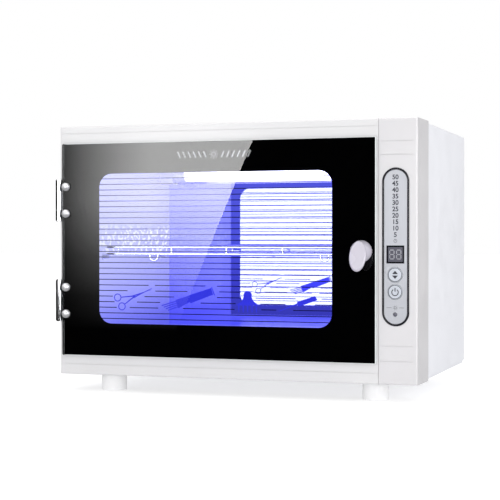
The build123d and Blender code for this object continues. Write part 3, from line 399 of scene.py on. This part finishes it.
NYLON = moulded("natural_nylon", (0.62, 0.61, 0.56), roughness=0.45)
WIRE_RED = rubbery("wire_insulation_red", (0.45, 0.04, 0.03), 0.4)
BLACK_RUBBER = rubbery("black_rubber", (0.012, 0.012, 0.013), 0.55)
CLEAR_RUBBER = rubbery("pale_silicone", (0.55, 0.56, 0.58), 0.35)
MAGNET_GREY = plated("magnet_nickel", (0.30, 0.30, 0.33), 0.25)

LINER_BACK = lit_mirror("liner_back_mirror", (0.34, 0.34, 0.64), 0.02, BACK_GLOW)
LINER_SIDE = lit_mirror("liner_side_mirror", (0.03, 0.03, 0.12), 0.22, SIDE_GLOW, 0.25, painted_glints=0.95)
LINER_FLOOR = lit_mirror("liner_floor_mirror", (0.08, 0.08, 0.30), 0.16, FLOOR_GLOW, 0.3)
LINER_CEILING = lit_mirror("liner_ceiling_mirror", (0.35, 0.35, 0.70), 0.16, CEILING_GLOW, 0.5)

NODE_MATERIALS = {
    WHITE_ABS: ["top_rail", "bottom_rail", "left_stile", "right_stile"],
    COLUMN_ABS: ["control_column"],
    WHITE_COAT: ["outer_wrap", "base_panel", "rear_panel"],
    LINER_BACK: ["liner_back"],
    LINER_SIDE: ["liner_left", "liner_right"],
    LINER_FLOOR: ["liner_floor"],
    LINER_CEILING: ["liner_ceiling"],
    BRIGHT_WIRE: ["rack_frame", "rack_grid", "rack_hooks"],
    TURNED_STEEL: ["rack_pegs"],
    glowing_tube("lit_lamp_tube"): ["lamp_tube"],
    CAP_METAL: ["lamp_caps"],
    BRASS: ["lamp_pins", "inlet_pins", "board_standoffs"],
    HOLDER_WHITE: ["lamp_holder_left", "lamp_holder_right", "holder_rotors"],
    BRIGHT_SHEET: ["lamp_reflector"],
    clear_pane("door_pane", (0.95, 0.965, 0.97), (0.78, 0.82, 0.82)): ["door_glass"],
    CHROME: ["hinge_frame_leaves", "hinge_door_leaves", "hinge_pins"],
    SATIN_CHROME: ["dome_screws"],
    ZINC: [
        "hinge_leaf_screws",
        "handle_screw",
        "strike_plate",
        "foot_screws",
        "rear_screws",
        "board_screws",
        "ballast_screws",
    ],
    BLACK_RUBBER: ["dome_washers"],
    CLEAR_RUBBER: ["door_bumpers"],
    PALE_HANDLE: ["handle"],
    MAGNET_GREY: ["magnet_catch"],
    BLACK_GLOSS: ["control_bezel"],
    SILVER_OVERLAY: ["control_fascia"],
    SILVER_CAP: ["select_button", "power_button"],
    SMOKED: ["display_window"],
    MODULE_GREY: ["display_module"],
    TINTED_LENS: ["power_led"],
    BOARD_GREEN: ["control_board", "power_board"],
    BLACK_MATTE: ["door_switch", "button_switches", "mains_inlet"],
    NYLON: ["switch_plunger", "terminal_block"],
    CAN_GREY: ["ballast"],
    COMPONENT_BLUE: ["power_board_parts"],
    WIRE_RED: ["wiring"],
    PALE_FOOT: ["feet"],
}

for material, names in NODE_MATERIALS.items():
    for name in names:
        for material_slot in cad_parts[name].material_slots:
            material_slot.material = material


# ---------------------------------------------------------------- flat prints


def rounded_rectangle(x_low, x_high, z_low, z_high, radius, steps=10):
    """The outline of a rounded rectangle, in millimetres."""
    outline = []
    corners = [
        (x_high - radius, z_high - radius, 0),
        (x_low + radius, z_high - radius, 90),
        (x_low + radius, z_low + radius, 180),
        (x_high - radius, z_low + radius, 270),
    ]
    for x, z, start in corners:
        for step in range(steps + 1):
            angle = math.radians(start + 90 * step / steps)
            outline.append((x + radius * math.cos(angle), z + radius * math.sin(angle)))
    return outline


def circle(x, z, radius, steps=32):
    return [
        (x + radius * math.cos(2 * math.pi * step / steps), z + radius * math.sin(2 * math.pi * step / steps))
        for step in range(steps)
    ]


def bar(start, end, width, end_width=None):
    """A straight bar between two points, as wide at its end as end_width says."""
    (x1, z1), (x2, z2) = start, end
    length = math.hypot(x2 - x1, z2 - z1)
    across = ((z1 - z2) / length / 2, (x2 - x1) / length / 2)
    far = width if end_width is None else end_width
    return [
        (x1 + across[0] * width, z1 + across[1] * width),
        (x2 + across[0] * far, z2 + across[1] * far),
        (x2 - across[0] * far, z2 - across[1] * far),
        (x1 - across[0] * width, z1 - across[1] * width),
    ]


def rays(x, z, inner, outer, width, turn=0.0):
    """Eight short bars around a point, as round a sun."""
    bars = []
    for index in range(8):
        angle = math.radians(45 * index + turn)
        start = (x + inner * math.cos(angle), z + inner * math.sin(angle))
        end = (x + outer * math.cos(angle), z + outer * math.sin(angle))
        bars.append(bar(start, end, width))
    return bars


def flat_print(name, loops, y, thickness, material, body):
    """A thin printed layer facing forwards. Loops inside other loops are holes."""
    curve = bpy.data.curves.new(name, "CURVE")
    curve.dimensions = "2D"
    curve.fill_mode = "BOTH"
    curve.extrude = thickness * MM / 2
    for loop in loops:
        spline = curve.splines.new("POLY")
        spline.points.add(len(loop) - 1)
        for point, (x, z) in zip(spline.points, loop):
            point.co = (cabinet_left + x * MM, cabinet_bottom + z * MM, 0, 1)
        spline.use_cyclic_u = True
    settle_print(name, curve, y, material, body)


def settle_print(name, curve, y, material, body):
    """Turns a flat curve into a mesh that stands at a depth, facing forwards."""
    flat = bpy.data.objects.new(name + "_flat", curve)
    bpy.context.scene.collection.objects.link(flat)
    bpy.context.view_layer.update()
    mesh = bpy.data.meshes.new_from_object(flat.evaluated_get(bpy.context.evaluated_depsgraph_get()))
    bpy.data.objects.remove(flat)
    depth = Matrix.Translation((0, cabinet_front + y * MM, 0))
    mesh.transform(depth @ Matrix.Rotation(math.radians(90), 4, "X"))
    mesh.materials.clear()
    mesh.materials.append(material)
    piece = bpy.data.objects.new(name, mesh)
    bpy.context.scene.collection.objects.link(piece)
    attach(piece, body)
    return piece


BORDER_INK = printed("border_black_ink", (0.001, 0.001, 0.0012), 0.8, shine=0.0)
LINE_INK = see_through_ink("stripe_ink", (0.03, 0.03, 0.18), 0.85, glow=(0.004, 0.004, 0.03))
ICON_INK = see_through_ink("icon_ink", (0.10, 0.11, 0.75), 0.85, glow=(0.045, 0.05, 0.85))
PALE_INK = printed("pale_ink", (0.62, 0.63, 0.65), 0.8, shine=0.0)
PANEL_INK = printed("panel_ink", (0.02, 0.02, 0.035), 0.4)
SEGMENT_INK = printed("segment_ink", (0.30, 0.30, 0.33), 0.4)

# Where the glass and its window are, in millimetres from the cabinet's corner. INK is how thick a
# print is.
glass_x = [(v.x - cabinet_left) / MM for v in (glass_low, glass_high)]
glass_z = [(v.z - cabinet_bottom) / MM for v in (glass_low, glass_high)]
glass_back = (glass_high.y - cabinet_front) / MM
WINDOW = (45.2, 293.7, 53.5, 207.6)
WINDOW_CORNER = 13.8
INK = 0.03

BORDER_EDGE = 0.2
BORDER_CORNER = 1.2

border_x = (glass_x[0] + BORDER_EDGE, glass_x[1] - BORDER_EDGE)
border_z = (glass_z[0] + BORDER_EDGE, glass_z[1] - BORDER_EDGE)
border = [
    rounded_rectangle(*border_x, *border_z, BORDER_CORNER),
    rounded_rectangle(*WINDOW, WINDOW_CORNER, 16),
]
flat_print("door_border_print", border, glass_back - INK, INK, BORDER_INK, "door")

# Tool icons along the window's foot. Each has the outlines of its shapes, and the lines that the
# printed stripes keep clear of: (start, end, clearance).


def scissors():
    pivot, tip = (85.3, 82.3), (104.0, 90.0)
    rings = [(65.7, 80.3), (70.5, 71.3)]
    shapes = []
    for x, z in rings:
        shapes.append([circle(x, z, 4.1), circle(x, z, 3.2)])
        reach = math.hypot(pivot[0] - x, pivot[1] - z)
        start = (x + (pivot[0] - x) * 3.6 / reach, z + (pivot[1] - z) * 3.6 / reach)
        shapes.append([bar(start, pivot, 0.9, 1.4)])
    shapes.append([bar((83.6, 80.4), (tip[0], tip[1] + 0.5), 1.3, 0.4)])
    shapes.append([bar((83.0, 82.2), (tip[0] - 0.6, tip[1] - 1.1), 1.3, 0.4)])
    clear = [((66.0, 80.3), pivot, 6.0), ((70.5, 71.5), pivot, 6.0), (pivot, tip, 4.5)]
    return shapes, clear


def brush_and_comb():
    shapes = [[[(143.8, 83.5), (168.0, 91.2), (170.3, 84.6), (145.8, 75.4)]]]
    for index in range(4):
        offset = index * 2.1
        start = (114.5 + offset * 1.1, 72.8 - offset * 0.75)
        shapes.append([bar(start, (131.2 + offset * 0.5, 77.6 - offset * 0.8), 1.0, 1.2)])
    shapes.append([[(129.4, 78.6), (144.6, 83.6), (146.4, 77.4), (132.8, 70.2)]])
    shapes.append([bar((168.6, 92.0), (171.8, 84.0), 1.0)])
    clear = [((116.5, 71.5), (134.0, 76.0), 6.0), ((134.0, 77.0), (169.0, 87.5), 7.5)]
    return shapes, clear


def claw_clip():
    shapes = [[circle(206.9, 84.4, 4.4)]]
    body = [(203.2, 84.0), (210.6, 84.0), (213.0, 78.5), (219.4, 74.2), (194.6, 74.2), (200.8, 78.5)]
    shapes.append([body])
    for index in range(5):
        x = 197.6 + index * 4.65
        shapes.append([bar((x, 74.6), (x, 67.4), 1.3, 0.9)])
    clear = [((206.9, 84.0), (206.9, 74.0), 8.0), ((197.5, 72.5), (216.3, 72.5), 5.0)]
    return shapes, clear


def tail_comb():
    shapes = [[[(258.0, 78.5), (276.7, 84.6), (279.1, 80.6), (259.9, 73.8)]]]
    shapes.append([bar((239.1, 69.0), (259.0, 76.6), 0.6, 1.6)])
    clear = [((240.5, 69.6), (258.0, 76.0), 4.0), ((259.0, 76.2), (277.0, 82.4), 6.0)]
    return shapes, clear


def distance_to_line(point, start, end):
    along = (end[0] - start[0], end[1] - start[1])
    to_point = (point[0] - start[0], point[1] - start[1])
    share = (to_point[0] * along[0] + to_point[1] * along[1]) / (along[0] ** 2 + along[1] ** 2)
    share = min(1.0, max(0.0, share))
    return math.hypot(to_point[0] - share * along[0], to_point[1] - share * along[1])


def stripe_runs(z, clear_lines):
    """The stretches of one printed stripe that stay clear of the icons."""
    step = 0.5
    margin = 1.0
    x, runs, start = WINDOW[0] - margin, [], None
    while x <= WINDOW[1] + margin:
        blocked = any(distance_to_line((x, z), a, b) < gap for a, b, gap in clear_lines)
        if not blocked and start is None:
            start = x
        if blocked and start is not None:
            runs.append((start, x))
            start = None
        x += step
    if start is not None:
        runs.append((start, WINDOW[1] + margin))
    return runs


icons = {
    "scissors": scissors(),
    "brush_and_comb": brush_and_comb(),
    "claw_clip": claw_clip(),
    "tail_comb": tail_comb(),
}
clear_lines = []
# Overlapping shapes of one icon lie a hair apart
SHAPE_STEP = 0.002
for icon_name, (shapes, lines) in icons.items():
    clear_lines += lines
    for index, loops in enumerate(shapes):
        y = glass_back + INK + index * SHAPE_STEP
        flat_print(f"icon_{icon_name}_{index}", loops, y, INK, ICON_INK, "door")

STRIPE_COUNT = 26
STRIPE_PITCH = 5.75
STRIPE_WIDTH = 0.85
stripes = []
first_stripe = (WINDOW[2] + WINDOW[3] - (STRIPE_COUNT - 1) * STRIPE_PITCH) / 2
for index in range(STRIPE_COUNT):
    z = first_stripe + index * STRIPE_PITCH
    top, foot = z + STRIPE_WIDTH / 2, z - STRIPE_WIDTH / 2
    for x_start, x_end in stripe_runs(z, clear_lines):
        stripes.append([(x_start, top), (x_end, top), (x_end, foot), (x_start, foot)])
flat_print("window_stripes", stripes, glass_back + INK, INK, LINE_INK, "door")

# The mark above the window, where such a door has its printed heading: a sun between two rows of
# slanted strokes
HEADING = (171.0, 225.5)
STROKE_COUNT = 6
STROKE_PITCH = 5.6
STROKE_START = 9.5
STROKE_LEAN = 1.5
STROKE_REACH = 3.2
STROKE_WIDTH = 1.5

heading_x, heading_z = HEADING
heading_shapes = [circle(*HEADING, 2.5), circle(*HEADING, 1.7), *rays(*HEADING, 3.3, 4.9, 0.8)]
for side in (-1, 1):
    lean = side * STROKE_LEAN
    for index in range(STROKE_COUNT):
        x = heading_x + side * (STROKE_START + STROKE_PITCH * index)
        stroke = ((x + lean, heading_z + STROKE_REACH), (x - lean, heading_z - STROKE_REACH))
        heading_shapes.append(bar(*stroke, STROKE_WIDTH))
flat_print("heading_mark", heading_shapes, glass_back - 3 * INK, INK, PALE_INK, "door")

# ---------------------------------------------------------------- prints on the control panel

fascia_front = (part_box("control_fascia")[0].y - cabinet_front) / MM
panel_x = 356.5
print_y = fascia_front - INK / 2
DIAL_NUMBERS = (50, 45, 40, 35, 30, 25, 20, 15, 10, 5)
DIAL_TOP = 199.8
DIAL_PITCH = 6.15
DIAL_SIZE = 6.3
DIAL_BOLDNESS = 0.15

for index, number in enumerate(DIAL_NUMBERS):
    digits = bpy.data.curves.new(f"dial_{number}", "FONT")
    digits.body = str(number)
    digits.size = DIAL_SIZE * MM
    digits.align_x = "CENTER"
    digits.align_y = "CENTER"
    digits.offset = DIAL_BOLDNESS * MM
    digits.extrude = INK * MM / 2
    piece = settle_print(f"dial_number_{number}", digits, print_y, PANEL_INK, "cabinet")
    shift = (cabinet_left + panel_x * MM, 0, cabinet_bottom + (DIAL_TOP - index * DIAL_PITCH) * MM)
    piece.data.transform(Matrix.Translation(shift))

clock_z = 138.6
clock = [circle(panel_x, clock_z, 1.7), circle(panel_x, clock_z, 1.35)]
clock.append(bar((panel_x, clock_z - 0.15), (panel_x, clock_z + 1.0), 0.3))
flat_print("panel_clock_icon", clock, print_y, INK, PANEL_INK, "cabinet")
clock_hand = [bar((panel_x, clock_z), (panel_x + 0.8, clock_z), 0.3)]
flat_print("panel_clock_hand", clock_hand, print_y, INK * 0.9, PANEL_INK, "cabinet")

light_z = 74.3
light_mark = [circle(panel_x, light_z, 1.2), circle(panel_x, light_z, 0.85)]
light_mark += rays(panel_x, light_z, 1.6, 2.3, 0.3, turn=22.5)
for side in (-1, 1):
    light_mark.append(bar((panel_x + side * 3.6, light_z), (panel_x + side * 8.6, light_z), 0.35))
flat_print("panel_light_mark", light_mark, print_y, INK, PANEL_INK, "cabinet")


# How far a button's hidden lip stands out round its cap
HIDDEN_LIP = 0.9


def button_prints(button, symbol):
    """A ring close to the cap's edge and the symbol in its middle."""
    low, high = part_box(button)
    x = ((low.x + high.x) / 2 - cabinet_left) / MM
    z = ((low.z + high.z) / 2 - cabinet_bottom) / MM
    radius = (high.x - low.x) / 2 / MM - HIDDEN_LIP
    y = (low.y - cabinet_front) / MM - INK / 2
    ring = [circle(x, z, radius - 0.45, 48), circle(x, z, radius - 1.0, 48)]
    flat_print(button + "_ring", ring, y, INK, PANEL_INK, button)
    flat_print(button + "_symbol", symbol(x, z), y, INK, PANEL_INK, button)


def select_symbol(x, z):
    up = [(x - 2.9, z + 0.7), (x + 2.9, z + 0.7), (x, z + 3.9)]
    down = [(x - 2.9, z - 0.7), (x + 2.9, z - 0.7), (x, z - 3.9)]
    return [up, down]


def power_symbol(x, z):
    """A ring open at the top with a bar in the gap."""
    start, sweep, steps = 125, 290, 24
    ring = []
    for radius, order in ((3.6, range(steps + 1)), (2.7, reversed(range(steps + 1)))):
        for step in order:
            angle = math.radians(start + sweep * step / steps)
            ring.append((x + radius * math.cos(angle), z - 0.3 + radius * math.sin(angle)))
    return [ring, bar((x, z + 0.4), (x, z + 3.9), 0.95)]


button_prints("select_button", select_symbol)
button_prints("power_button", power_symbol)

# The display: a darker surround and two unlit seven-bar digits
display_low, display_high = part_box("display_window")
display_x = ((display_low.x + display_high.x) / 2 - cabinet_left) / MM
display_z = ((display_low.z + display_high.z) / 2 - cabinet_bottom) / MM
display_y = (display_low.y - cabinet_front) / MM - INK / 2
surround = [
    rounded_rectangle(display_x - 8.4, display_x + 8.4, display_z - 8.3, display_z + 8.3, 0.6),
    rounded_rectangle(display_x - 7.2, display_x + 7.2, display_z - 7.1, display_z + 7.1, 0.5),
]
flat_print("display_surround", surround, display_y, INK, BORDER_INK, "cabinet")
DIGIT_SPACING = 6.7
DIGIT_HALF_WIDTH = 2.1
DIGIT_HALF_HEIGHT = 4.3
SEGMENT_WIDTH = 0.95
SEGMENT_GAP = 0.35
SEGMENT_END_GAP = 0.65
segments = []
for side_of_middle in (-0.5, 0.5):
    x = display_x + side_of_middle * DIGIT_SPACING
    reach = DIGIT_HALF_WIDTH - SEGMENT_GAP
    for z in (display_z - DIGIT_HALF_HEIGHT, display_z, display_z + DIGIT_HALF_HEIGHT):
        segments.append(bar((x - reach, z), (x + reach, z), SEGMENT_WIDTH))
    for end_x in (x - DIGIT_HALF_WIDTH, x + DIGIT_HALF_WIDTH):
        for z in (display_z - DIGIT_HALF_HEIGHT, display_z):
            start = (end_x, z + SEGMENT_END_GAP)
            end = (end_x, z + DIGIT_HALF_HEIGHT - SEGMENT_END_GAP)
            segments.append(bar(start, end, SEGMENT_WIDTH))
flat_print("display_digits", segments, display_y, INK, SEGMENT_INK, "cabinet")

# ---------------------------------------------------------------- camera

CAMERA_AT = (650.2, -1298.5, 140.2)
CAMERA_DIP = 0.447
CAMERA_TURN = 18.768
camera_data = bpy.data.cameras.new("photo_camera")
camera_data.lens = 99.22
camera_data.sensor_width = 36
camera_data.clip_start = 0.01
camera_data.clip_end = 100
camera = bpy.data.objects.new("photo_camera", camera_data)
camera.location = place(*CAMERA_AT)
camera.rotation_euler = (math.radians(90 - CAMERA_DIP), 0, math.radians(CAMERA_TURN))
bpy.context.scene.collection.objects.link(camera)
bpy.context.scene.camera = camera
bpy.context.scene.view_settings.view_transform = "Standard"

# ---------------------------------------------------------------- studio


def grey(value):
    return (value, value, value)


def studio_mesh(name, corners, material):
    """One flat face that belongs to the studio, not to the object."""
    mesh = bpy.data.meshes.new(name)
    mesh.from_pydata(corners, [], [tuple(range(len(corners)))])
    mesh.materials.append(material)
    item = bpy.data.objects.new(name, mesh)
    bpy.context.scene.collection.objects.link(item)
    return item


# The floor is pale and glows a little, so its shadows stay soft. Polished pieces don't mirror it.
floor_shader = Shader("studio_floor")
floor_shader.mottled(3, 3, grey(0.66), grey(0.67))
floor_shader.set(Roughness=0.8, Specular_IOR_Level=0.1, Emission_Color=(*WHITE, 1), Emission_Strength=0.45)
FLOOR_REACH = 12.0
floor_corners = [
    (x * FLOOR_REACH, y * FLOOR_REACH, cad_low.z) for x, y in ((-1, -1), (1, -1), (1, 1), (-1, 1))
]
studio_floor = studio_mesh("studio_floor", floor_corners, floor_shader.material)
studio_floor.visible_glossy = False

# The world is a white room. Polished faces see it dark where they mirror what is low in front of
# them, as if it were hung with black cloth. The chamber's mirror, seen through the door glass, shows
# it bright.
DARK_BELOW = 0.2
WHITE_ABOVE = 0.55
MIRRORED_ROOM = 4.2

world = bpy.data.worlds.new("studio_world")
world.use_nodes = True
bpy.context.scene.world = world
room = Tree(world.node_tree)
background = room.nodes["Background"]
light_path = room.nodes.new("ShaderNodeLightPath")
is_glossy = light_path.outputs["Is Glossy Ray"]
no_glass_yet = room.math("LESS_THAN", light_path.outputs["Transparent Depth"], 0.5)
sky_height = room.split(room.nodes.new("ShaderNodeTexCoord").outputs["Generated"])["Z"]
overhead = room.spread(sky_height, 0.0, 1.0, DARK_BELOW, WHITE_ABOVE)
cloth = room.blend(overhead, BLACK, WHITE)
sees_cloth = room.math("MULTIPLY", is_glossy, no_glass_yet)
room.link(room.blend(sees_cloth, WHITE, cloth), background.inputs["Color"])
in_chamber_mirror = room.math("MULTIPLY", room.past_glass(light_path), is_glossy)
room.link(room.spread(in_chamber_mirror, 1.0, MIRRORED_ROOM, 0.0, 1.0), background.inputs["Strength"])


def soft_light(name, location, target, size, power):
    data = bpy.data.lights.new(name, "AREA")
    data.shape = "RECTANGLE"
    data.size, data.size_y = size
    data.energy = power
    lamp = bpy.data.objects.new(name, data)
    lamp.location = location
    lamp.rotation_euler = (Vector(target) - Vector(location)).to_track_quat("-Z", "Y").to_euler()
    bpy.context.scene.collection.objects.link(lamp)


middle = (cad_low + cad_high) / 2
soft_light("key_light", (-0.9, -1.3, 1.6), middle, (1.2, 1.2), 1.2)
soft_light("top_light", (0.1, 0.2, 1.8), middle, (1.6, 1.6), 3)
soft_light("right_light", (1.7, -0.6, 0.55), middle, (1.2, 1.2), 7.5)
soft_light("low_light", (0.5, -1.6, 0.25), middle, (1.2, 0.4), 3)

# The reflector card that the door glass mirrors: its slanted edge, and its brightness, which
# fades towards the left and towards the floor. Points are given where the glass shows them.
CARD_DISTANCE = 700.0
camera_x, camera_y, camera_z = CAMERA_AT
glass_front = (glass_low.y - cabinet_front) / MM
card_scale = 1 + CARD_DISTANCE / (glass_front - camera_y)
card_y = glass_front - CARD_DISTANCE


def on_card(x, z):
    """The point of the card that the camera sees mirrored at a point of the glass."""
    return place(camera_x + (x - camera_x) * card_scale, card_y, camera_z + (z - camera_z) * card_scale)


CARD_BRIGHTNESS = 9.0
ACROSS_TONES = ((0.0, 0.06), (0.08, 0.2), (0.25, 0.54), (0.4, 0.85), (0.48, 1.0))
UPWARD_TONES = ((0.05, 0.0), (0.28, 0.06), (0.55, 0.3), (0.78, 0.7), (0.95, 1.0))
card = Shader("reflector_card")
card_point = card.point()
across = card.spread(card_point["X"], 0, 1, on_card(0, 0).x, on_card(214, 0).x)
upward = card.spread(card_point["Z"], 0, 1, on_card(0, 40).z, on_card(0, 190).z)
across_tone = card.ramp(across, [(position, grey(value)) for position, value in ACROSS_TONES])
upward_tone = card.ramp(upward, [(position, grey(value)) for position, value in UPWARD_TONES])
card_light = card.nodes.new("ShaderNodeEmission")
card_light.inputs["Strength"].default_value = CARD_BRIGHTNESS
card.link(card.blend(1.0, across_tone, upward_tone, "MULTIPLY"), card_light.inputs["Color"])
past_glass = card.past_glass(card.nodes.new("ShaderNodeLightPath"))
card.finish_with(card.mix_shaders(past_glass, card_light.outputs["Emission"], card.clear()))
card_corners = [on_card(-20, 40), on_card(128.0, 40), on_card(218.6, 250), on_card(-20, 250)]
card_item = studio_mesh("reflector_card", card_corners, card.material)
card_item.visible_camera = False
card_item.visible_diffuse = False
card_item.visible_shadow = False
card_item.visible_transmission = False
